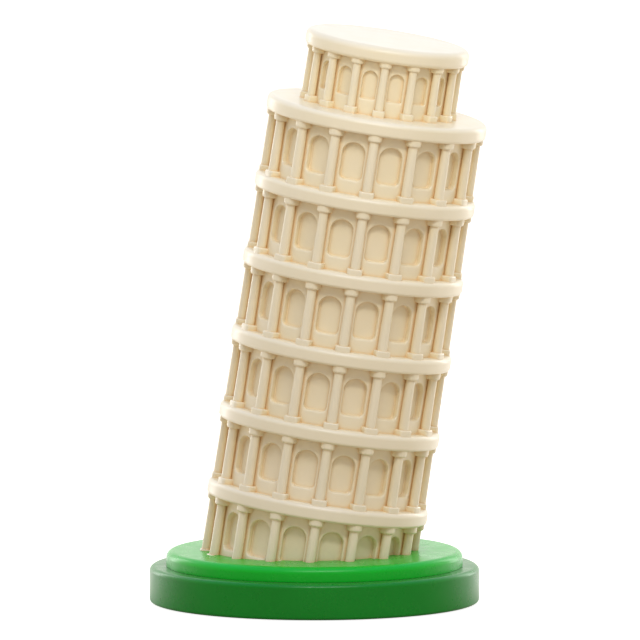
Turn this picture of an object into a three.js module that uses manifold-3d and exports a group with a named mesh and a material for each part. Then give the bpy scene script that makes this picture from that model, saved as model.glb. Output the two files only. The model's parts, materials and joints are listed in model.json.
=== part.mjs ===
// Desk souvenir of a leaning round bell tower on a two-step round plinth.
//
// Units are millimetres and +Z is up. The origin is the centre of the underside, where the
// souvenir rests on a table. The tower leans towards +X, and the front faces -Y.
//
// The tower is a stack of solid cast pieces threaded on one long bolt: six storeys and a
// belfry, each with its ring of columns and blind arches, a plain cornice on each storey,
// and a flat roof. The bolt's head is in the plinth and its nut is under the roof.

import * as THREE from 'three';
import { mergeVertices } from 'three/addons/utils/BufferGeometryUtils.js';
import Module from 'manifold-3d';

const wasm = await Module();
wasm.setup();

// ---- Driving dimensions ---------------------------------------------------------------

const jointGap = 0.3; // glue line between pieces that meet
const storeyCount = 6; // storeys under the belfry
const bayCount = 16; // columns, and arches between them, round each storey
const lean = THREE.MathUtils.degToRad(8.67); // of the tower's axis, towards +X
const axisOffset = -1.06; // x where the tower's axis meets the top of the plinth

const lowerPlinth = { radius: 39.9, bottom: 0.3, top: 9.06, lowerRound: 0.8, upperRound: 1.2 };
const upperPlinth = { radius: 35.9, top: 12.76, lowerRound: 0.1, upperRound: 1.7 };
const antiSlip = { radius: 35.5, thickness: 1.2 };

const storey = {
  height: 15.22, // clear, from one cornice to the next
  wallFace: 23.6, // distance of the flat wall of each bay from the axis
  column: { ring: 24.8, front: 26.5, low: 1.24, high: 1.14 },
  foot: { width: 3.8, height: 1.3, front: 26.3, corner: 0.5 },
  cap: { width: 3.5, height: 1.63 },
  arch: { width: 6, sill: 3.35, crown: 12.7, depth: 1.5 },
};
const belfry = {
  height: 13.35,
  wallFace: 16.9,
  column: { ring: 17.9, front: 19.3, low: 1.05, high: 0.98 },
  foot: { width: 3.05, height: 1.6, front: 19.2, corner: 0.4 },
  cap: { width: 3.1, height: 1.35 },
  arch: { width: 3.7, sill: 3.8, crown: 10.7, depth: 1.2 },
};
const cornice = { radius: 26.9, thickness: 3.75, lowerRound: 0.75, upperRound: 1.3 };
const roof = { radius: 20, thickness: 3.9, lowerRound: 1, upperRound: 1.6 };

const tieBolt = { radius: 2, headRadius: 3.5, headHeight: 2.5 };
const washer = { radius: 4.4, thickness: 0.6 };
const nut = { radius: 4, height: 3.2 }; // radius over the six corners
const spigot = { radius: 6.5, length: 1.3 }; // on the end of a storey, in the next cornice
const nutPocketDepth = 6.2; // in the top of the belfry, closed by the roof
const dowel = { radius: 1, ring: 11, reach: 2 }; // reach into the pieces on either side
const plinthScrew = { radius: 1.4, headRadius: 2.6, headHeight: 1.6, ring: 25, count: 3 };
const plinthSpigotDepth = 2.2; // of the first storey's spigot, below the top of the plinth
const screwSeat = 3.8; // height of the shoulder that the screw heads pull against
const screwTip = 11.4; // height of the plinth screws' tips
const boltSeat = -6.6; // place of the bolt head's shoulder on the tower's axis
const overrun = 1; // how far a piece runs into what it joins, or a cutter past what it cuts

// Sides of the polygons that stand for round outlines.
const shaftSides = 6;
const hexagonSides = 6;
const dowelSides = 8;
const screwSides = 10;
const boltSides = 12;
const boreSides = 16;
const corniceSides = 40;
const discSides = 48;
const arcPoints = 2;

// ---- Levels on the tower's axis, from the top of the plinth ----------------------------

const pitch = storey.height + cornice.thickness;
const firstFloor = -4.83; // the first storey's floor would lie inside the plinth
const floorLevel = (index) => firstFloor + index * pitch;
const corniceLevel = (index) => floorLevel(index) + storey.height;
const belfryFloor = floorLevel(storeyCount);
const roofLevel = belfryFloor + belfry.height;
const nutSeat = roofLevel - jointGap - nutPocketDepth;

const towerFrame = new THREE.Matrix4()
  .makeRotationY(lean)
  .setPosition(axisOffset, 0, upperPlinth.top);
const worldToTower = towerFrame.clone().invert();

// ---- Materials ------------------------------------------------------------------------

const cream = () => new THREE.MeshStandardMaterial({ color: 0xe9dfc8, roughness: 0.6, metalness: 0 });
const darkGreen = () => new THREE.MeshStandardMaterial({ color: 0x0f6a20, roughness: 0.4, metalness: 0 });
const brightGreen = () => new THREE.MeshStandardMaterial({ color: 0x3cc53c, roughness: 0.4, metalness: 0 });
const steel = () => new THREE.MeshStandardMaterial({ color: 0xb6b8ba, roughness: 0.35, metalness: 1 });
const beech = () => new THREE.MeshStandardMaterial({ color: 0xc9a478, roughness: 0.7, metalness: 0 });
const blackRubber = () => new THREE.MeshStandardMaterial({ color: 0x22221f, roughness: 0.9, metalness: 0 });

// ---- Solids ---------------------------------------------------------------------------

// A closed three.js geometry as a solid that can be joined and cut.
function toSolid(geometry) {
  const bare = geometry.clone();
  bare.deleteAttribute('normal');
  bare.deleteAttribute('uv');
  const merged = mergeVertices(bare, 1e-4);
  const index = merged.getIndex().array;
  const corners = [];
  for (let i = 0; i < index.length; i += 3) {
    const [a, b, c] = [index[i], index[i + 1], index[i + 2]];
    if (a !== b && b !== c && c !== a) {
      corners.push(a, b, c);
    }
  }
  const vertProperties = new Float32Array(merged.getAttribute('position').array);
  const triVerts = new Uint32Array(corners);
  return new wasm.Manifold(new wasm.Mesh({ numProp: 3, vertProperties, triVerts }));
}

const joined = (solids) => solids.reduce((whole, solid) => whole.add(solid));
const without = (solid, cutters) => cutters.reduce((whole, cutter) => whole.subtract(cutter), solid);

// A solid as a named mesh.
function piece(name, solid, material) {
  const { vertProperties, triVerts } = solid.getMesh();
  const geometry = new THREE.BufferGeometry();
  geometry.setAttribute('position', new THREE.BufferAttribute(vertProperties, 3));
  geometry.setIndex(new THREE.BufferAttribute(triVerts, 1));
  geometry.computeVertexNormals();
  const mesh = new THREE.Mesh(geometry, material);
  mesh.name = name;
  return mesh;
}

// An upright round bar, or a tapered one where topRadius is given.
function bar(radius, bottom, top, segments = boltSides, topRadius = radius) {
  return new THREE.CylinderGeometry(topRadius, radius, top - bottom, segments)
    .rotateX(Math.PI / 2)
    .translate(0, 0, (bottom + top) / 2);
}

// A round disc with a narrow chamfer on its lower edge and a rounded upper edge.
function roundedDisc({ radius, bottom, top, lowerRound, upperRound }, segments, steps = 2) {
  const outline = [
    new THREE.Vector2(0, bottom),
    new THREE.Vector2(radius - lowerRound, bottom),
    new THREE.Vector2(radius, bottom + lowerRound),
  ];
  for (let i = 0; i <= steps; i++) {
    const turn = ((i / steps) * Math.PI) / 2;
    outline.push(new THREE.Vector2(
      radius - upperRound * (1 - Math.cos(turn)),
      top - upperRound * (1 - Math.sin(turn)),
    ));
  }
  outline.push(new THREE.Vector2(0, top));
  return new THREE.LatheGeometry(outline, segments).rotateX(Math.PI / 2);
}

const extruded = (outline, depth) =>
  new THREE.ExtrudeGeometry(outline, { depth, bevelEnabled: false, curveSegments: arcPoints });

// A geometry made at the front, turned to an azimuth that is counted from -Y towards +X.
const turned = (geometry, azimuth) => geometry.clone().rotateZ(azimuth);
const bayAzimuth = (index) => (index * 2 * Math.PI) / bayCount;

// ---- Storeys --------------------------------------------------------------------------

// The square foot block of a column, which runs back into the wall.
function footBlock({ foot, wallFace }, bottom) {
  const half = foot.width / 2;
  const back = overrun - wallFace;
  const front = -foot.front;
  const outline = new THREE.Shape([
    new THREE.Vector2(-half, back),
    new THREE.Vector2(-half, front + foot.corner),
    new THREE.Vector2(foot.corner - half, front),
    new THREE.Vector2(half - foot.corner, front),
    new THREE.Vector2(half, front + foot.corner),
    new THREE.Vector2(half, back),
  ]);
  return extruded(outline, foot.height - bottom).translate(0, 0, bottom);
}

// The cap block: round in front, with straight sides back into the wall.
function capBlock({ height, column, cap, wallFace }, top) {
  const half = cap.width / 2;
  const middle = half - column.front;
  const outline = new THREE.Shape();
  outline.moveTo(-half, overrun - wallFace);
  outline.lineTo(-half, middle);
  outline.absarc(0, middle, half, Math.PI, 2 * Math.PI);
  outline.lineTo(half, overrun - wallFace);
  const bottom = height - cap.height;
  return extruded(outline, top - bottom).translate(0, 0, bottom);
}

function column(level, bottom, top) {
  const { ring, low, high } = level.column;
  const shaft = bar(low, level.foot.height / 2, level.height - level.cap.height / 2, shaftSides, high);
  return [footBlock(level, bottom), shaft.translate(0, -ring, 0), capBlock(level, top)];
}

// The cutter for one blind arch, with its sill at the bottom and a round head.
function archCutter({ wallFace, arch }) {
  const half = arch.width / 2;
  const spring = arch.crown - half;
  const outline = new THREE.Shape();
  outline.moveTo(-half, arch.sill);
  outline.lineTo(half, arch.sill);
  outline.lineTo(half, spring);
  outline.absarc(0, spring, half, 0, Math.PI);
  return extruded(outline, arch.depth + overrun)
    .rotateX(Math.PI / 2)
    .translate(0, arch.depth - wallFace, 0);
}

// One storey on its own floor: a prism with a flat wall in each bay, its columns and arches,
// and the bolt's hole down the middle.
function arcade(level) {
  const bottom = jointGap;
  const top = level.height - jointGap;
  const cornerRadius = level.wallFace / Math.cos(Math.PI / bayCount);
  const additions = [toSolid(bar(cornerRadius, bottom, top, bayCount))];
  const spigotReach = spigot.length + overrun;
  const boltHole = bar(tieBolt.radius + jointGap, -spigotReach, level.height + spigotReach);
  const cuts = [toSolid(boltHole)];
  for (let i = 0; i < bayCount; i++) {
    for (const block of column(level, bottom, top)) {
      additions.push(toSolid(turned(block, bayAzimuth(i))));
    }
    cuts.push(toSolid(turned(archCutter(level), bayAzimuth(i + 0.5))));
  }
  return { additions, cuts, bottom, top };
}

const lowerSpigot = () => toSolid(bar(spigot.radius, -spigot.length, overrun, boreSides));
const upperSpigot = (level) =>
  toSolid(bar(spigot.radius, level.height - overrun, level.height + spigot.length, boreSides));

// The hole for a dowel at the rear of a piece.
function dowelHole(bottom, top) {
  const hole = bar(dowel.radius + jointGap, bottom, top, dowelSides).translate(0, dowel.ring, 0);
  return toSolid(hole);
}
const holeDepth = dowel.reach + jointGap;

function storeySolid() {
  const { additions, cuts, bottom, top } = arcade(storey);
  additions.push(lowerSpigot(), upperSpigot(storey));
  cuts.push(dowelHole(bottom - overrun, bottom + holeDepth), dowelHole(top - holeDepth, top + overrun));
  return without(joined(additions), cuts);
}

// The first storey is trimmed level with the plinth and has a spigot into it.
function firstStoreySolid() {
  const { additions, cuts, top } = arcade(storey);
  additions.push(upperSpigot(storey));
  cuts.push(dowelHole(top - holeDepth, top + overrun));
  const blockSize = 2 * lowerPlinth.radius;
  const plinthBlock = new THREE.BoxGeometry(blockSize, blockSize, blockSize)
    .translate(0, 0, upperPlinth.top + jointGap - blockSize / 2)
    .applyMatrix4(worldToTower)
    .translate(0, 0, -firstFloor);
  const trimmed = without(joined(additions), [...cuts, toSolid(plinthBlock)]);
  const plinthTop = -firstFloor; // on the tower's axis, from the storey's own floor
  const plugTop = plinthTop + plinthSpigotDepth;
  const plug = toSolid(bar(spigot.radius, plinthTop - plinthSpigotDepth, plugTop, boreSides));
  return trimmed.add(without(plug, cuts.slice(0, 1)));
}

// The belfry has a pocket in its top for the nut, which the roof's spigot closes.
function belfrySolid() {
  const { additions, cuts, bottom, top } = arcade(belfry);
  additions.push(lowerSpigot());
  cuts.push(
    toSolid(bar(spigot.radius + jointGap, top - nutPocketDepth, top + overrun, boreSides)),
    dowelHole(bottom - overrun, bottom + holeDepth),
    dowelHole(top - holeDepth, top + overrun),
  );
  return without(joined(additions), cuts);
}

// ---- Cornices and roof ----------------------------------------------------------------

function corniceSolid() {
  const disc = roundedDisc({ ...cornice, bottom: 0, top: cornice.thickness }, corniceSides);
  const bore = bar(spigot.radius + jointGap, -overrun, cornice.thickness + overrun, boreSides);
  return without(toSolid(disc), [toSolid(bore), dowelHole(-overrun, cornice.thickness + overrun)]);
}

function roofSolid() {
  const disc = toSolid(roundedDisc({ ...roof, bottom: 0, top: roof.thickness }, corniceSides));
  const plug = toSolid(bar(spigot.radius, -spigot.length, overrun, boreSides));
  return without(disc.add(plug), [dowelHole(-overrun, dowel.reach)]);
}

// ---- Plinth ---------------------------------------------------------------------------

const screwAzimuth = (index) => ((index + 0.5) * 2 * Math.PI) / plinthScrew.count;

// A round bar on the axis of one of the plinth's screws.
function screwBar(index, radius, bottom, top) {
  const round = bar(radius, bottom, top, screwSides).translate(0, -plinthScrew.ring, 0);
  return toSolid(turned(round, screwAzimuth(index)));
}

const plinthReach = 2 * upperPlinth.top; // far enough along the axis to leave the plinth

// A round bar along the tower's axis, between two places on that axis.
const axisBar = (radius, bottom, top, segments) =>
  toSolid(bar(radius, bottom, top, segments).applyMatrix4(towerFrame));

function lowerPlinthSolid() {
  const recess = bar(antiSlip.radius + jointGap, 0, antiSlip.thickness + jointGap, discSides);
  const cuts = [
    toSolid(recess),
    axisBar(tieBolt.radius + jointGap, -plinthReach, plinthReach),
    axisBar(washer.radius + jointGap, -plinthReach, boltSeat),
  ];
  for (let i = 0; i < plinthScrew.count; i++) {
    cuts.push(screwBar(i, plinthScrew.radius + jointGap, 0, lowerPlinth.top + overrun));
    cuts.push(screwBar(i, plinthScrew.headRadius + jointGap, 0, screwSeat));
  }
  return without(toSolid(roundedDisc(lowerPlinth, discSides)), cuts);
}

function upperPlinthSolid() {
  const disc = { ...upperPlinth, bottom: lowerPlinth.top };
  const cuts = [axisBar(spigot.radius + jointGap, -plinthReach, plinthReach, boreSides)];
  for (let i = 0; i < plinthScrew.count; i++) {
    cuts.push(screwBar(i, plinthScrew.radius + jointGap, lowerPlinth.top - overrun, screwTip + jointGap));
  }
  return without(toSolid(roundedDisc(disc, discSides)), cuts);
}

// ---- Fixings --------------------------------------------------------------------------

// A pan-head screw that stands head down under its seat.
function plinthScrewSolid(index) {
  const headTop = screwSeat - jointGap;
  const head = screwBar(index, plinthScrew.headRadius, headTop - plinthScrew.headHeight, headTop);
  return head.add(screwBar(index, plinthScrew.radius, headTop - overrun, screwTip));
}

// The long bolt, with its hexagon head at the bottom.
function tieBoltSolid() {
  const headTop = boltSeat - washer.thickness - 2 * jointGap;
  const head = bar(tieBolt.headRadius, headTop - tieBolt.headHeight, headTop, hexagonSides);
  const shank = bar(tieBolt.radius, headTop - overrun, nutSeat + washer.thickness + nut.height + overrun);
  return toSolid(head).add(toSolid(shank));
}

// A ring that the bolt passes through, with its lower face at the origin.
function ring(radius, thickness, segments) {
  const hole = bar(tieBolt.radius + jointGap, -overrun, thickness + overrun);
  return toSolid(bar(radius, 0, thickness, segments)).subtract(toSolid(hole));
}

const dowelSolid = (bottom, top) =>
  toSolid(bar(dowel.radius, bottom, top, dowelSides).translate(0, dowel.ring, 0));

// ---- Assembly -------------------------------------------------------------------------

const group = new THREE.Group();
const underlay = bar(antiSlip.radius, 0, antiSlip.thickness, discSides);
group.add(piece('anti_slip_disc', toSolid(underlay), blackRubber()));
group.add(piece('lower_plinth', lowerPlinthSolid(), darkGreen()));
group.add(piece('upper_plinth', upperPlinthSolid(), brightGreen()));
for (let i = 0; i < plinthScrew.count; i++) {
  group.add(piece(`plinth_screw_${i + 1}`, plinthScrewSolid(i), steel()));
}

const tower = new THREE.Group();
tower.position.set(axisOffset, 0, upperPlinth.top);
tower.rotation.y = lean;
group.add(tower);

// Puts a piece in the tower with its own floor at the given place on the tower's axis.
function place(mesh, level) {
  mesh.position.z = level;
  tower.add(mesh);
}

for (let i = 0; i < storeyCount; i++) {
  const solid = i === 0 ? firstStoreySolid() : storeySolid();
  place(piece(`storey_${i + 1}`, solid, cream()), floorLevel(i));
  place(piece(`cornice_${i + 1}`, corniceSolid(), cream()), corniceLevel(i));
  const pin = dowelSolid(-dowel.reach, cornice.thickness + dowel.reach);
  place(piece(`dowel_${i + 1}`, pin, beech()), corniceLevel(i));
}
place(piece('belfry', belfrySolid(), cream()), belfryFloor);
place(piece('belfry_roof', roofSolid(), cream()), roofLevel);
place(piece('roof_dowel', dowelSolid(-dowel.reach, dowel.reach - jointGap), beech()), roofLevel);

const flatWasher = ring(washer.radius, washer.thickness, boreSides);
place(piece('tie_bolt', tieBoltSolid(), steel()), 0);
place(piece('head_washer', flatWasher, steel()), boltSeat - jointGap - washer.thickness);
place(piece('nut_washer', flatWasher, steel()), nutSeat + jointGap);
const hexagonNut = ring(nut.radius, nut.height, hexagonSides);
place(piece('tie_nut', hexagonNut, steel()), nutSeat + washer.thickness + 2 * jointGap);

export default group;
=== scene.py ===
"""Looks of the leaning bell tower souvenir: fine meshes, materials, lights and camera round the CAD frame.

All sizes are in metres. The tower's pieces are made upright on their own floor and then placed on
the leaning axis, which is read from the frame. Azimuths count from -Y (the front) towards +X.
"""

import json
import math
from types import SimpleNamespace

import bmesh
import bpy
from mathutils import Matrix, Vector


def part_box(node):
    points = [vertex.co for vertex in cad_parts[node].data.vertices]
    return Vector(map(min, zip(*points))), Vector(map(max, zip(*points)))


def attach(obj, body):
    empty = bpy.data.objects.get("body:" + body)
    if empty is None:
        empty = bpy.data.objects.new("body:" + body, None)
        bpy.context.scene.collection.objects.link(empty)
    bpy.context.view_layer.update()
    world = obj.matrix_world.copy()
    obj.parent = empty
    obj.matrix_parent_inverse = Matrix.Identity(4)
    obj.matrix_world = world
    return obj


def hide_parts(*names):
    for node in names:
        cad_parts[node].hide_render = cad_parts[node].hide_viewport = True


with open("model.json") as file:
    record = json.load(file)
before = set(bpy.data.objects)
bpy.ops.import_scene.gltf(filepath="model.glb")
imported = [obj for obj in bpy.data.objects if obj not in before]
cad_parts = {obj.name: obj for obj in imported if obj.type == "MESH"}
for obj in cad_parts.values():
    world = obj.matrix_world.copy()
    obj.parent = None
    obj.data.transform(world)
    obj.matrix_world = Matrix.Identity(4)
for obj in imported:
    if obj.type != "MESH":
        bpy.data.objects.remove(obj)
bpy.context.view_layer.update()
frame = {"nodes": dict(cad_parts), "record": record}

# ---- Driving sizes --------------------------------------------------------------------------

BAYS = 16  # columns, and blind arches, round each level
FOOT_SQUARENESS = 0.42  # in plan, 1 is a round front and less is a squarer one
CAP_SQUARENESS = 0.85

# wall and ring are the radii of the wall and of the ring of columns. foot, cap and arch_half are
# half widths, foot_front and cap_front are how far a block's front is from the axis, and
# shaft_low and shaft_high are a shaft's radii. sill and crown are heights above the level's own
# floor. lip and sill_lip are how wide an arch's rounded edge is.
STOREY = SimpleNamespace(
    wall=0.0238, ring=0.0248,
    foot=0.0019, foot_front=0.0263, foot_height=0.00132, foot_round=0.00035,
    cap=0.00178, cap_front=0.0265, cap_height=0.00163, cap_round=0.0006,
    shaft_low=0.00122, shaft_high=0.00114,
    arch_half=0.00285, head_rise=0.0027, sill=0.00343, crown=0.0126, depth=0.0017,
    lip=0.00036, sill_lip=0.0005, corner=0.0012, inner_round=0.0002,
)
BELFRY = SimpleNamespace(
    wall=0.0169, ring=0.0179,
    foot=0.00152, foot_front=0.0192, foot_height=0.0016, foot_round=0.0003,
    cap=0.00155, cap_front=0.0193, cap_height=0.00135, cap_round=0.0006,
    shaft_low=0.00102, shaft_high=0.00095,
    arch_half=0.00185, head_rise=0.0019, sill=0.0038, crown=0.0107, depth=0.0012,
    lip=0.00028, sill_lip=0.00042, corner=0.00032, inner_round=0.0002,
)

# Each pair of rounds is for a disc's lower edge and its upper edge.
CORNICE_THICKNESS = 0.00375
CORNICE_ROUNDS = (0.00075, 0.0013)
ROOF_THICKNESS = 0.0039
ROOF_ROUNDS = (0.001, 0.0016)
LOWER_PLINTH_ROUNDS = (0.0008, 0.0012)
UPPER_PLINTH_ROUNDS = (0.0001, 0.0018)
PAD_ROUNDS = (0.0002, 0.0002)
RECESS_RADIUS = 0.0358  # the recess under the lower plinth, which holds the anti-slip pad
RECESS_TOP = 0.0015
BORE = 0.0023  # radius of the hole for the tie bolt
ROOF_DOWEL_DROP = 0.00015  # the middle of the roof's dowel is this far below the belfry's top
TRIM_DEPTH = 0.00005  # the first storey is cut off this far below the top of the plinth

# ---- Fineness of the meshes -----------------------------------------------------------------

# A bay's edge and its arch's edge have the same number of points, so these go together.
EDGE_STEPS = 4  # round the edge of a foot, a cap or an arch
END_STEPS = 3  # along the floor or ceiling, from the middle of a bay to a column
SHAFT_STEPS = 4
SILL_STEPS = 4
CORNER_STEPS = 4
SIDE_STEPS = 4
HEAD_STEPS = 12

FRONT_STEPS = 16  # round the front half of a column
BACK_STEPS = 8  # round the back half of its shaft
INNER_STEPS = 3  # round the inner corner of a niche
ROUND_STEPS = 7  # round the edge of a disc
DISC_SEGMENTS = 160
WALL_SHARES = (0.35, 0.7)  # rows between the edge of a bay and the edge of its arch
NICHE_SHARES = (0.33, 0.67, 1.0)  # rows from the edge of a niche's floor to its middle
SEAT_SHARE = 0.995  # keeps an end face's second row of points just inside its edge
WELD = 2e-6  # points closer than this become one
CREASE = math.radians(38)  # edges that turn more than this stay sharp

# ---- Places read from the frame -------------------------------------------------------------


def box_centre(node):
    low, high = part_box(node)
    return (low + high) / 2


def disc_radius(node):
    """Half the width of a round node across the lean, which is its radius."""
    low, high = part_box(node)
    return (high.y - low.y) / 2


cornice_nodes = sorted(n for n in frame["nodes"] if n.startswith("cornice_"))
storey_count = len(cornice_nodes)


def cornice_middle(number):
    """Centre of a cornice. Its dowel is at the same height, off the axis only along Y."""
    place = box_centre(f"dowel_{number}")
    place.y = 0
    return place


stack = cornice_middle(storey_count) - cornice_middle(1)
pitch = stack.length / (storey_count - 1)
axis = stack.normalized()
lean = math.atan2(axis.x, axis.z)
STOREY.height = pitch - CORNICE_THICKNESS
belfry_floor = cornice_middle(storey_count) + axis * (CORNICE_THICKNESS / 2)
roof_joint = box_centre("roof_dowel")
roof_joint.y = 0
BELFRY.height = (roof_joint - belfry_floor).length + ROOF_DOWEL_DROP
cornice_radius = disc_radius("cornice_1")
roof_radius = disc_radius("belfry_roof")
plinth_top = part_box("upper_plinth")[1].z

# The discs that each level stands on and carries. Its end rows follow their rounded edges.
STOREY.floor_radius = cornice_radius
STOREY.floor_round = CORNICE_ROUNDS[1]
STOREY.ceiling_radius = cornice_radius
STOREY.ceiling_round = CORNICE_ROUNDS[0]
BELFRY.floor_radius = cornice_radius
BELFRY.floor_round = CORNICE_ROUNDS[1]
BELFRY.ceiling_radius = roof_radius
BELFRY.ceiling_round = ROOF_ROUNDS[0]


def tower_matrix(number, offset):
    """Frame of a piece on the leaning axis, at an offset from the underside of a cornice."""
    underside = cornice_middle(number) - axis * (CORNICE_THICKNESS / 2)
    return Matrix.Translation(underside + axis * offset) @ Matrix.Rotation(lean, 4, "Y")


# ---- Meshes ---------------------------------------------------------------------------------


def make_object(name, bm, matrix=None):
    """A bmesh as a smooth object with creases, standing at a place."""
    bmesh.ops.remove_doubles(bm, verts=bm.verts, dist=WELD)
    bmesh.ops.dissolve_degenerate(bm, edges=bm.edges, dist=WELD / 2)
    bmesh.ops.recalc_face_normals(bm, faces=bm.faces)
    mesh = bpy.data.meshes.new(name)
    bm.to_mesh(mesh)
    bm.free()
    mesh.shade_smooth()
    mesh.set_sharp_from_angle(angle=CREASE)
    piece = bpy.data.objects.new(name, mesh)
    bpy.context.scene.collection.objects.link(piece)
    if matrix is not None:
        piece.matrix_world = matrix
    weighted = piece.modifiers.new("even_shading", "WEIGHTED_NORMAL")
    weighted.keep_sharp = True
    return piece


def twin(piece, name, matrix):
    """Another object of the same mesh."""
    copy = piece.copy()
    copy.name = name
    bpy.context.scene.collection.objects.link(copy)
    copy.matrix_world = matrix
    return copy


def add_strip(bm, row_a, row_b):
    """Quads between two rows of points of the same length."""
    a = [bm.verts.new(p) for p in row_a]
    b = [bm.verts.new(p) for p in row_b]
    for i in range(len(a) - 1):
        bm.faces.new((a[i], a[i + 1], b[i + 1], b[i]))


def add_strips(bm, rows):
    for row_a, row_b in zip(rows, rows[1:]):
        add_strip(bm, row_a, row_b)


def blend_rows(row_a, row_b, share):
    return [tuple(p + (q - p) * share for p, q in zip(a, b)) for a, b in zip(row_a, row_b)]


def quarter(steps=EDGE_STEPS):
    """Angles from 0 to a right angle."""
    return [math.pi / 2 * i / steps for i in range(steps + 1)]


def polar(radius, azimuth, height):
    return (radius * math.sin(azimuth), -radius * math.cos(azimuth), height)


def rounded_outline(radius, bottom, top, rounds, inner=0.0):
    """Outline (radius, height) of a disc with rounded edges, or of a ring if inner isn't 0."""
    low, high = rounds
    outline = [(inner, bottom), (radius - low, bottom)]
    outline += [
        (radius - low * (1 - math.sin(t)), bottom + low * (1 - math.cos(t))) for t in quarter(ROUND_STEPS)
    ]
    outline += [
        (radius - high * (1 - math.cos(t)), top - high * (1 - math.sin(t))) for t in quarter(ROUND_STEPS)
    ]
    outline.append((inner, top))
    if inner:
        outline.append((inner, bottom))
    return outline


def lathe(name, outline, matrix=None):
    """An outline turned round the vertical axis."""
    bm = bmesh.new()
    turn = 2 * math.pi / DISC_SEGMENTS
    rows = [
        [polar(radius, turn * i, height) for i in range(DISC_SEGMENTS + 1)]
        for radius, height in outline
    ]
    add_strips(bm, rows)
    return make_object(name, bm, matrix)


# ---- Storeys --------------------------------------------------------------------------------


def foot_profile(level):
    """(height, inset) up the side of a foot block with its rounded upper edge."""
    r = level.foot_round
    edge = [(level.foot_height - r * (1 - math.sin(t)), r * (1 - math.cos(t))) for t in quarter()]
    return [(0.0, 0.0)] + edge


def cap_profile(level):
    """(height, inset) up the side of a cap block with its rounded lower edge."""
    r = level.cap_round
    bottom = level.height - level.cap_height
    edge = [(bottom + r * (1 - math.cos(t)), r * (1 - math.sin(t))) for t in quarter()]
    return edge + [(level.height, 0.0)]


def block_row(level, half, reach, squareness, height, fit):
    """Points round a foot or cap block at a height, from the wall round the front to the wall.

    reach is how far its front is from the axis. squareness 1 gives a round front and less
    gives a squarer one. fit(radius) is how far a point moves up to follow a disc's rounded edge.
    """
    depth = reach - level.ring
    at_wall = math.sqrt(level.wall**2 - half**2)
    beside = (at_wall + level.ring) / 2
    plan = [(-half, at_wall), (-half, beside)]
    for i in range(FRONT_STEPS + 1):
        t = math.pi * i / FRONT_STEPS
        across = math.copysign(abs(math.cos(t)) ** squareness, -math.cos(t))
        plan.append((half * across, level.ring + depth * math.sin(t) ** squareness))
    plan += [(half, beside), (half, at_wall)]
    return [(x, -y, height + fit(math.hypot(x, y))) for x, y in plan]


def wall_row(level, half, height):
    """The wall behind a foot or cap, from right to left, at one height."""
    return [
        (x, -math.sqrt(level.wall**2 - x**2), height) for x in (half, half / 2, 0.0, -half / 2, -half)
    ]


def shaft_row(level, radius, height):
    """Circle round a shaft, with a point for each one of the block's row and the wall's row."""
    front = [math.pi * i / FRONT_STEPS for i in range(FRONT_STEPS + 1)]
    back = [math.pi + math.pi * i / BACK_STEPS for i in range(1, BACK_STEPS + 1)]
    circle = [(-radius * math.cos(t), -(level.ring + radius * math.sin(t)), height) for t in front + back]
    return circle[-3:-1] + circle[:-2]


def flat(_radius):
    """The fit of a row that doesn't follow a disc's edge."""
    return 0.0


def edge_drop(radius, disc, rounding):
    """How far a disc's rounded edge has fallen away from its flat face at a radius."""
    over = min(max(radius - (disc - rounding), 0.0), rounding)
    return rounding - math.sqrt(rounding**2 - over**2)


def block_rows(level, half, front, squareness, profile, fit_bottom, fit_top):
    """Rows up a foot or cap block. Those at the level's floor and ceiling may follow a disc's edge."""
    rows = []
    for z, inset in profile:
        if z == 0:
            fit = fit_bottom
        elif z == level.height:
            fit = fit_top
        else:
            fit = flat
        rows.append(block_row(level, half - inset, front - inset, squareness, z, fit))
    return rows


def add_column(bm, level):
    """The front column: foot block, shaft and cap block, open where they run into the wall."""

    def floor_fit(radius):
        return -edge_drop(radius, level.floor_radius, level.floor_round)

    def ceiling_fit(radius):
        return edge_drop(radius, level.ceiling_radius, level.ceiling_round)

    foot = foot_profile(level)
    cap = cap_profile(level)
    foot_rows = block_rows(
        level, level.foot, level.foot_front, FOOT_SQUARENESS, foot, floor_fit, flat
    )
    cap_rows = block_rows(level, level.cap, level.cap_front, CAP_SQUARENESS, cap, flat, ceiling_fit)
    add_strips(bm, foot_rows)
    add_strips(bm, cap_rows)
    foot_top = foot_rows[-1] + wall_row(level, level.foot - foot[-1][1], foot[-1][0])[1:]
    cap_base = cap_rows[0] + wall_row(level, level.cap - cap[0][1], cap[0][0])[1:]
    shaft_low = shaft_row(level, level.shaft_low, foot[-1][0])
    shaft_high = shaft_row(level, level.shaft_high, cap[0][0])
    add_strips(bm, [foot_top, shaft_low, shaft_high, cap_base])
    return foot_rows[0], cap_rows[-1]


def bay_boundary(level):
    """(azimuth, height) up the right half of a bay's edge, from bottom centre to top centre."""
    half_bay = math.pi / BAYS

    def beside(across):
        return half_bay - math.asin(across / level.wall)

    points = [(beside(level.foot) * i / END_STEPS, 0.0) for i in range(END_STEPS)]
    foot = foot_profile(level)
    cap = cap_profile(level)
    points += [(beside(level.foot - inset), z) for z, inset in foot]
    top_half = level.foot - foot[-1][1]
    points += [(beside(top_half / 2), foot[-1][0])]
    rise = cap[0][0] - foot[-1][0]
    points += [(half_bay, foot[-1][0] + rise * i / SHAFT_STEPS) for i in range(SHAFT_STEPS + 1)]
    base_half = level.cap - cap[0][1]
    points += [(beside(base_half / 2), cap[0][0])]
    points += [(beside(level.cap - inset), z) for z, inset in cap]
    points += [(beside(level.cap) * i / END_STEPS, level.height) for i in reversed(range(END_STEPS))]
    return points


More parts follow.
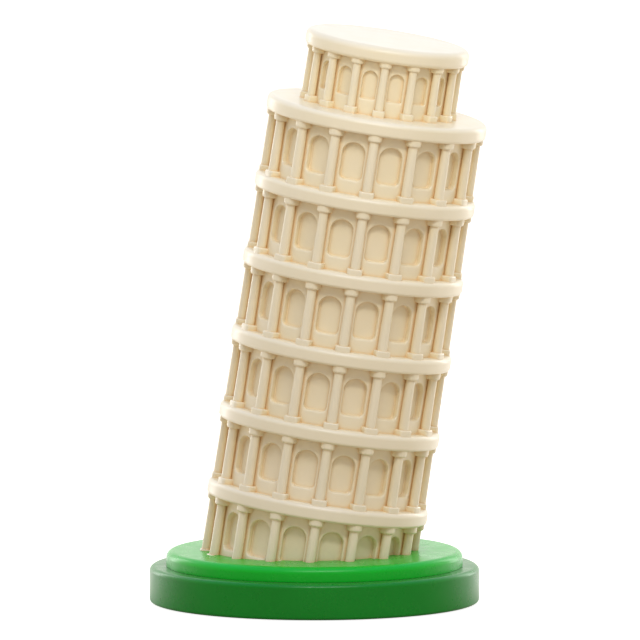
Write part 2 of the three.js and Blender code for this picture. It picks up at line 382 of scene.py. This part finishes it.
def arch_outline(level):
    """(across, height, normal across, normal up, lip) up the right half of the arch's edge."""
    half = level.arch_half
    corner = level.corner
    spring = level.crown - level.head_rise
    points = [
        ((half - corner) * i / SILL_STEPS, level.sill, 0.0, -1.0, level.sill_lip) for i in range(SILL_STEPS)
    ]
    for i in range(CORNER_STEPS + 1):
        t = math.pi / 2 * i / CORNER_STEPS
        lip = level.sill_lip + (level.lip - level.sill_lip) * i / CORNER_STEPS
        across = half - corner + corner * math.sin(t)
        up = level.sill + corner - corner * math.cos(t)
        points.append((across, up, math.sin(t), -math.cos(t), lip))
    side = level.sill + corner
    points += [
        (half, side + (spring - side) * i / SIDE_STEPS, 1.0, 0.0, level.lip) for i in range(1, SIDE_STEPS)
    ]
    for i in range(HEAD_STEPS + 1):
        t = math.pi / 2 * i / HEAD_STEPS
        normal = Vector((math.cos(t) / half, math.sin(t) / level.head_rise)).normalized()
        across = half * math.cos(t)
        up = spring + level.head_rise * math.sin(t)
        points.append((across, up, normal.x, normal.y, level.lip))
    return points


def arch_row(level, outline, outward, depth):
    """(azimuth, height, depth) row: the outline moved outward, at a depth in the wall."""
    row = []
    for across, up, normal_across, normal_up, lip in outline:
        shift = outward(lip)
        x = max(across + normal_across * shift, 0.0)
        deep = depth(lip)
        row.append((math.asin(x / (level.wall - deep)), up + normal_up * shift, deep))
    return row


def add_bay(bm, level):
    """One bay of wall with its blind arch, between two columns, at the front."""
    boundary = [(azimuth, z, 0.0) for azimuth, z in bay_boundary(level)]
    outline = arch_outline(level)
    rows = [boundary]
    lip_row = arch_row(level, outline, lambda lip: lip, lambda lip: 0.0)
    rows += [blend_rows(boundary, lip_row, share) for share in WALL_SHARES]
    for t in quarter():
        rows.append(arch_row(
            level, outline, lambda lip: lip * (1 - math.sin(t)), lambda lip: lip * (1 - math.cos(t))
        ))
    inner = level.inner_round
    for t in quarter(INNER_STEPS):
        deep = level.depth - inner * (1 - math.sin(t))
        rows.append(arch_row(level, outline, lambda lip: -inner * (1 - math.cos(t)), lambda lip: deep))
    low = level.sill + level.arch_half
    high = level.crown - level.head_rise
    edge = rows[-1]
    spine = [(0.0, min(max(z, low), high), level.depth) for _, z, _ in edge]
    rows += [blend_rows(edge, spine, share) for share in NICHE_SHARES]
    for side in (1, -1):
        add_strips(bm, [
            [polar(level.wall - deep, side * azimuth, z) for azimuth, z, deep in row] for row in rows
        ])


def add_end(bm, level, half, block, height, seat_radius):
    """The flat bottom or top of one bay, from the outline in to the bolt's bore."""
    half_bay = math.pi / BAYS
    half_open = half_bay - math.asin(half / level.wall)
    opening = [half_open * i / END_STEPS for i in range(END_STEPS)]
    before = [polar(level.wall, -half_bay + azimuth, height) for azimuth in opening]
    after = [polar(level.wall, half_bay - azimuth, height) for azimuth in reversed(opening)]
    edge = before + list(block) + after
    seat = []
    bore = []
    for x, y, _ in edge:
        azimuth = math.atan2(x, -y)
        seat.append(polar(min(math.hypot(x, y), seat_radius) * SEAT_SHARE, azimuth, height))
        bore.append(polar(BORE, azimuth, height))
    add_strips(bm, [edge, seat, bore])
    return bore


def storey_bmesh(level):
    """A whole storey: wall with arches, columns, flat ends and the bolt's bore."""
    column = bmesh.new()
    foot_row, cap_row = add_column(column, level)
    low_seat = level.floor_radius - level.floor_round
    low_bore = add_end(column, level, level.foot, foot_row, 0.0, low_seat)
    top_seat = level.ceiling_radius - level.ceiling_round
    high_bore = add_end(column, level, level.cap, cap_row, level.height, top_seat)
    add_strip(column, low_bore, high_bore)
    bay = bmesh.new()
    add_bay(bay, level)
    bm = bmesh.new()
    for part, offset in ((column, 0.0), (bay, 0.5)):
        mesh = bpy.data.meshes.new("part")
        part.to_mesh(mesh)
        part.free()
        for i in range(BAYS):
            turned = mesh.copy()
            turned.transform(Matrix.Rotation((i + offset) * 2 * math.pi / BAYS, 4, "Z"))
            bm.from_mesh(turned)
            bpy.data.meshes.remove(turned)
        bpy.data.meshes.remove(mesh)
    return bm


def trim_below(bm, plane_point, plane_normal):
    """Cuts away what lies below a plane and closes the cut."""
    bmesh.ops.remove_doubles(bm, verts=bm.verts, dist=WELD)
    geometry = bm.verts[:] + bm.edges[:] + bm.faces[:]
    bmesh.ops.bisect_plane(
        bm, geom=geometry, dist=WELD / 4, plane_co=plane_point, plane_no=plane_normal, clear_inner=True
    )
    open_edges = [edge for edge in bm.edges if edge.is_boundary]
    bmesh.ops.triangle_fill(bm, use_beauty=True, use_dissolve=False, edges=open_edges)


# ---- Materials ------------------------------------------------------------------------------

# Painted shade: a warm orange-brown is mixed into the cream's colour in creases, hollows and joints,
# wherever ambient occlusion finds nearby surfaces. It stands in for the warm shade and bounced light there.
CREASE_SHADE_COLOUR = (0.82, 0.56, 0.25)
CREASE_SHADE_REACH = 0.0011  # how far away a neighbouring surface may be to make a hollow
CREASE_SHADE_OPENNESS = (0.9, 0.15)  # the openness at which the painted crease shade starts and at which it is full
BOUNCED_GREEN = (0.21, 0.42, 0.09)
NOISE_RANGE = (0.3, 0.7)  # nearly all of a noise texture's values lie in it
POLISH_SPREAD = 0.04  # how far a moulded surface's roughness strays either way


def node_material(name):
    """A new material with its node tree, its shader and the place of each point on it."""
    material = bpy.data.materials.new(name)
    material.use_nodes = True
    tree = material.node_tree
    shader = tree.nodes["Principled BSDF"]
    place = tree.nodes.new("ShaderNodeNewGeometry").outputs["Position"]
    return material, tree, shader, place


def noise(tree, place, scale, detail=4.0, roughness=0.55):
    node = tree.nodes.new("ShaderNodeTexNoise")
    node.inputs["Scale"].default_value = scale
    node.inputs["Detail"].default_value = detail
    node.inputs["Roughness"].default_value = roughness
    tree.links.new(place, node.inputs["Vector"])
    return node.outputs["Fac"]


def map_range(tree, value, source, target=(0.0, 1.0), interpolation="LINEAR"):
    """A value moved from one range to another, and held at the ends of the second."""
    node = tree.nodes.new("ShaderNodeMapRange")
    node.interpolation_type = interpolation
    node.inputs["From Min"].default_value, node.inputs["From Max"].default_value = source
    node.inputs["To Min"].default_value, node.inputs["To Max"].default_value = target
    tree.links.new(value, node.inputs["Value"])
    return node.outputs["Result"]


def vary(tree, value, low, high):
    """A noise value spread over a range."""
    return map_range(tree, value, NOISE_RANGE, (low, high))


def ramp(tree, value, low, high):
    """A share that eases from 0 to 1 as a value goes from low to high."""
    return map_range(tree, value, (low, high), interpolation="SMOOTHSTEP")


def colour_mix(tree, share):
    """A node that goes from colour A to colour B as a share goes from 0 to 1."""
    node = tree.nodes.new("ShaderNodeMix")
    node.data_type = "RGBA"
    tree.links.new(share, node.inputs["Factor"])
    return node


def mix_colours(tree, share, first, second):
    node = colour_mix(tree, share)
    node.inputs["A"].default_value = (*first, 1)
    node.inputs["B"].default_value = (*second, 1)
    return node.outputs["Result"]


def bump(tree, shader, value, distance, strength):
    node = tree.nodes.new("ShaderNodeBump")
    node.inputs["Distance"].default_value = distance
    node.inputs["Strength"].default_value = strength
    tree.links.new(value, node.inputs["Height"])
    tree.links.new(node.outputs["Normal"], shader.inputs["Normal"])


def moulded(name, first, second, roughness, grain, ior=1.5):
    """Cast or moulded plastic: slow colour drift, fine grain, uneven polish."""
    material, tree, shader, place = node_material(name)
    drift = vary(tree, noise(tree, place, scale=60), 0, 1)
    tree.links.new(mix_colours(tree, drift, first, second), shader.inputs["Base Color"])
    uneven = noise(tree, place, scale=220)
    polish = vary(tree, uneven, roughness - POLISH_SPREAD, roughness + POLISH_SPREAD)
    tree.links.new(polish, shader.inputs["Roughness"])
    bump(tree, shader, noise(tree, place, scale=2600, detail=3), distance=grain, strength=0.5)
    shader.inputs["IOR"].default_value = ior
    return material


def tint(material, share, colour):
    """Mixes another colour into a material's base colour by a share."""
    tree = material.node_tree
    base = tree.nodes["Principled BSDF"].inputs["Base Color"]
    node = colour_mix(tree, share)
    node.inputs["B"].default_value = (*colour, 1)
    tree.links.new(base.links[0].from_socket, node.inputs["A"])
    tree.links.new(node.outputs["Result"], base)


def cream_resin():
    """Cast resin with warm painted shade mixed into its colour in the hollows and along the joints."""
    material = moulded(
        "cream_resin", (0.89, 0.78, 0.515), (0.92, 0.81, 0.555), roughness=0.32, grain=0.000005
    )
    tree = material.node_tree
    # Painted shade: ambient occlusion mixes the warm crease colour into the base colour where surfaces lie
    # close together.
    crease_occlusion = tree.nodes.new("ShaderNodeAmbientOcclusion")
    crease_occlusion.samples = 8
    crease_occlusion.inputs["Distance"].default_value = CREASE_SHADE_REACH
    tint(material, map_range(tree, crease_occlusion.outputs["AO"], CREASE_SHADE_OPENNESS), CREASE_SHADE_COLOUR)
    return material


def satin_green(name, first, second):
    """Green resin with a pale satin sheen that shows at grazing angles."""
    material = moulded(name, first, second, roughness=0.29, grain=0.0000005, ior=1.35)
    shader = material.node_tree.nodes["Principled BSDF"]
    shader.inputs["Sheen Weight"].default_value = 0.1
    shader.inputs["Sheen Roughness"].default_value = 0.3
    shader.inputs["Sheen Tint"].default_value = (1.0, 0.97, 0.85, 1)
    return material


def bright_green():
    """Bright green that throws a weaker green light on the tower than its own colour would."""
    material = satin_green("bright_green", (0.002, 0.47, 0.018), (0.003, 0.50, 0.022))
    bounced = material.node_tree.nodes.new("ShaderNodeLightPath").outputs["Is Diffuse Ray"]
    tint(material, bounced, BOUNCED_GREEN)
    return material


def dark_green():
    """Dark green of the lower plinth."""
    return satin_green("dark_green", (0.001, 0.22, 0.010), (0.002, 0.245, 0.013))


def black_rubber():
    return moulded(
        "black_rubber", (0.012, 0.012, 0.011), (0.02, 0.02, 0.018), roughness=0.8, grain=0.00005
    )


def steel():
    """Bright plated steel with a fine, slightly uneven finish."""
    material, tree, shader, place = node_material("steel")
    shader.inputs["Metallic"].default_value = 1
    drift = vary(tree, noise(tree, place, scale=400), 0, 1)
    plating = mix_colours(tree, drift, (0.55, 0.56, 0.58), (0.66, 0.67, 0.68))
    tree.links.new(plating, shader.inputs["Base Color"])
    polish = vary(tree, noise(tree, place, scale=900), 0.25, 0.42)
    tree.links.new(polish, shader.inputs["Roughness"])
    bump(tree, shader, noise(tree, place, scale=6000, detail=2), distance=0.00001, strength=0.4)
    return material


def beech():
    """Plain beech with its grain upright, nearly along the dowels."""
    material, tree, shader, place = node_material("beech")
    stretch = tree.nodes.new("ShaderNodeVectorMath")
    stretch.operation = "MULTIPLY"
    stretch.inputs[1].default_value = (1, 1, 0.06)
    tree.links.new(place, stretch.inputs[0])
    grain = noise(tree, stretch.outputs["Vector"], scale=2500, detail=6)
    wood = mix_colours(tree, vary(tree, grain, 0, 1), (0.50, 0.32, 0.17), (0.64, 0.44, 0.26))
    tree.links.new(wood, shader.inputs["Base Color"])
    tree.links.new(vary(tree, grain, 0.55, 0.75), shader.inputs["Roughness"])
    bump(tree, shader, grain, distance=0.00004, strength=0.5)
    return material


MATERIALS = {
    "cream_resin": cream_resin(),
    "bright_green": bright_green(),
    "dark_green": dark_green(),
    "black_rubber": black_rubber(),
    "steel": steel(),
    "beech": beech(),
}


def finish_piece(piece, node, slot):
    """Gives a piece its material, attaches it to the root body and hides the CAD node it stands for."""
    piece.data.materials.clear()
    piece.data.materials.append(MATERIALS[slot])
    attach(piece, "root")
    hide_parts(node)


# ---- Tower ----------------------------------------------------------------------------------

cornice_outline = rounded_outline(cornice_radius, 0, CORNICE_THICKNESS, CORNICE_ROUNDS, BORE)
first_cornice = lathe("cornice_1_casting", cornice_outline, tower_matrix(1, 0))
cornices = [first_cornice]
for number in range(2, storey_count + 1):
    cornices.append(twin(first_cornice, f"cornice_{number}_casting", tower_matrix(number, 0)))

whole = storey_bmesh(STOREY)
trimmed = whole.copy()
first_floor = tower_matrix(1, -STOREY.height)
into_storey = first_floor.inverted()
trim_point = Vector((0, 0, plinth_top - TRIM_DEPTH))
trim_below(trimmed, into_storey @ trim_point, into_storey.to_3x3() @ Vector((0, 0, 1)))
storeys = [make_object("storey_1_casting", trimmed, first_floor)]
second = make_object("storey_2_casting", whole, tower_matrix(2, -STOREY.height))
storeys.append(second)
for number in range(3, storey_count + 1):
    storeys.append(twin(second, f"storey_{number}_casting", tower_matrix(number, -STOREY.height)))

belfry_place = tower_matrix(storey_count, CORNICE_THICKNESS)
belfry = make_object("belfry_casting", storey_bmesh(BELFRY), belfry_place)
roof_outline = rounded_outline(roof_radius, 0, ROOF_THICKNESS, ROOF_ROUNDS)
roof = lathe("roof_casting", roof_outline, belfry_place @ Matrix.Translation((0, 0, BELFRY.height)))

for number, (storey, cornice) in enumerate(zip(storeys, cornices), start=1):
    finish_piece(storey, f"storey_{number}", "cream_resin")
    finish_piece(cornice, f"cornice_{number}", "cream_resin")
finish_piece(belfry, "belfry", "cream_resin")
finish_piece(roof, "belfry_roof", "cream_resin")

# ---- Plinth ---------------------------------------------------------------------------------


def plinth_disc(name, node, rounds, recess=None):
    """A plinth disc as large as its CAD node, with a recess underneath if one is given."""
    low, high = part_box(node)
    bottom = low.z
    outline = rounded_outline(disc_radius(node), bottom, high.z, rounds)
    if recess:
        radius, top = recess
        outline = [(0, top), (radius, top), (radius, bottom)] + outline[1:]
    return lathe(name, outline)


lower_plinth = plinth_disc(
    "lower_plinth_disc", "lower_plinth", LOWER_PLINTH_ROUNDS, (RECESS_RADIUS, RECESS_TOP)
)
upper_plinth = plinth_disc("upper_plinth_disc", "upper_plinth", UPPER_PLINTH_ROUNDS)
rubber = plinth_disc("anti_slip_pad", "anti_slip_disc", PAD_ROUNDS)
finish_piece(lower_plinth, "lower_plinth", "dark_green")
finish_piece(upper_plinth, "upper_plinth", "bright_green")
finish_piece(rubber, "anti_slip_disc", "black_rubber")

# The fixings inside keep their CAD shapes and get the looks of their slots.
for part in frame["record"]["subparts"]:
    node = frame["nodes"][part["node"]]
    if not node.hide_render:
        node.data.materials.clear()
        node.data.materials.append(MATERIALS[part["material_slot"]])

# ---- Camera, floor and light ----------------------------------------------------------------

CAMERA_ELEVATION = math.radians(6.85)
VIEW_WIDTH = 0.155
AIM = Vector((0.00135, 0.0, 0.0))
AIM_UP = 0.06837  # the middle of the view is this far above AIM, as the camera sees it
CAMERA_DISTANCE = 1.0
FLOOR_REACH = 6.0
FLOOR_SHADE = (0.60, 0.50, 0.37)
FLOOR_WASH = 0.9
FLOOR_WASH_START = -0.03  # the wash grows from nothing to full between these two Y
FLOOR_WASH_END = 0.05


def add_camera():
    data = bpy.data.cameras.new("camera")
    data.type = "ORTHO"
    data.ortho_scale = VIEW_WIDTH
    camera = bpy.data.objects.new("camera", data)
    bpy.context.scene.collection.objects.link(camera)
    back = Vector((0, -math.cos(CAMERA_ELEVATION), math.sin(CAMERA_ELEVATION)))
    up = Vector((0, math.sin(CAMERA_ELEVATION), math.cos(CAMERA_ELEVATION)))
    camera.location = AIM + up * AIM_UP + back * CAMERA_DISTANCE
    camera.rotation_mode = "QUATERNION"
    camera.rotation_quaternion = (-back).to_track_quat("-Z", "Y")
    data.clip_start = 0.01
    data.clip_end = 100
    bpy.context.scene.camera = camera


def add_floor():
    """A pale floor that is washed out to white for the camera and behind the object.

    In front of the object it throws less light back up.
    """
    bm = bmesh.new()
    corners = [(-1, -1), (1, -1), (1, 1), (-1, 1)]
    bm.faces.new([bm.verts.new((x * FLOOR_REACH, y * FLOOR_REACH, 0)) for x, y in corners])
    mesh = bpy.data.meshes.new("floor")
    bm.to_mesh(mesh)
    bm.free()
    floor = bpy.data.objects.new("floor", mesh)
    bpy.context.scene.collection.objects.link(floor)
    material, tree, shader, place = node_material("pale_floor")
    shader.inputs["Base Color"].default_value = (*FLOOR_SHADE, 1)
    shader.inputs["Roughness"].default_value = 0.8
    shader.inputs["Emission Color"].default_value = (1, 1, 1, 1)
    position = tree.nodes.new("ShaderNodeSeparateXYZ")
    tree.links.new(place, position.inputs["Vector"])
    behind = ramp(tree, position.outputs["Y"], FLOOR_WASH_START, FLOOR_WASH_END)
    seen = tree.nodes.new("ShaderNodeLightPath").outputs["Is Camera Ray"]
    bright = tree.nodes.new("ShaderNodeMath")
    bright.operation = "MAXIMUM"
    tree.links.new(behind, bright.inputs[0])
    tree.links.new(seen, bright.inputs[1])
    wash = tree.nodes.new("ShaderNodeMath")
    wash.operation = "MULTIPLY"
    wash.inputs[1].default_value = FLOOR_WASH
    tree.links.new(bright.outputs["Value"], wash.inputs[0])
    tree.links.new(wash.outputs["Value"], shader.inputs["Emission Strength"])
    floor.data.materials.append(material)


def add_area_light(name, target, azimuth, elevation, distance, size, power):
    """A soft light, as wide and as tall as size says, that faces a target."""
    data = bpy.data.lights.new(name, "AREA")
    data.shape = "RECTANGLE"
    data.size, data.size_y = size
    data.energy = power
    light = bpy.data.objects.new(name, data)
    bpy.context.scene.collection.objects.link(light)
    away = Vector(polar(1, math.radians(azimuth), 0)) * math.cos(math.radians(elevation))
    away.z = math.sin(math.radians(elevation))
    light.location = target + away * distance
    light.rotation_mode = "QUATERNION"
    light.rotation_quaternion = (-away).to_track_quat("-Z", "Y")


def add_surroundings(front, back, overhead):
    """Light from all round that changes from front to back, with another colour overhead."""
    world = bpy.data.worlds.new("surroundings")
    world.use_nodes = True
    tree = world.node_tree
    direction = tree.nodes.new("ShaderNodeSeparateXYZ")
    tree.links.new(tree.nodes.new("ShaderNodeTexCoord").outputs["Generated"], direction.inputs["Vector"])
    level = mix_colours(tree, ramp(tree, direction.outputs["Y"], low=-0.6, high=1.0), front, back)
    dome = colour_mix(tree, ramp(tree, direction.outputs["Z"], low=0.3, high=0.9))
    dome.inputs["B"].default_value = (*overhead, 1)
    tree.links.new(level, dome.inputs["A"])
    tree.links.new(dome.outputs["Result"], tree.nodes["Background"].inputs["Color"])
    bpy.context.scene.world = world


add_camera()
add_floor()
add_surroundings(front=(0.43, 0.375, 0.29), back=(1.42, 1.39, 1.34), overhead=(0.58, 0.72, 1.22))
middle = box_centre("storey_3")
add_area_light(
    "key", middle, azimuth=8, elevation=46, distance=0.7, size=(0.42, 0.07), power=1.46
)
add_area_light(
    "belfry_fill", box_centre("belfry"),
    azimuth=-4, elevation=25, distance=0.1, size=(0.12, 0.05), power=0.016,
)
for name, azimuth, power in (("left_rim", -140, 0.36), ("right_rim", 140, 0.33)):
    add_area_light(name, middle, azimuth, elevation=10, distance=0.5, size=(0.1, 0.3), power=power)
bpy.context.scene.view_settings.view_transform = "Standard"
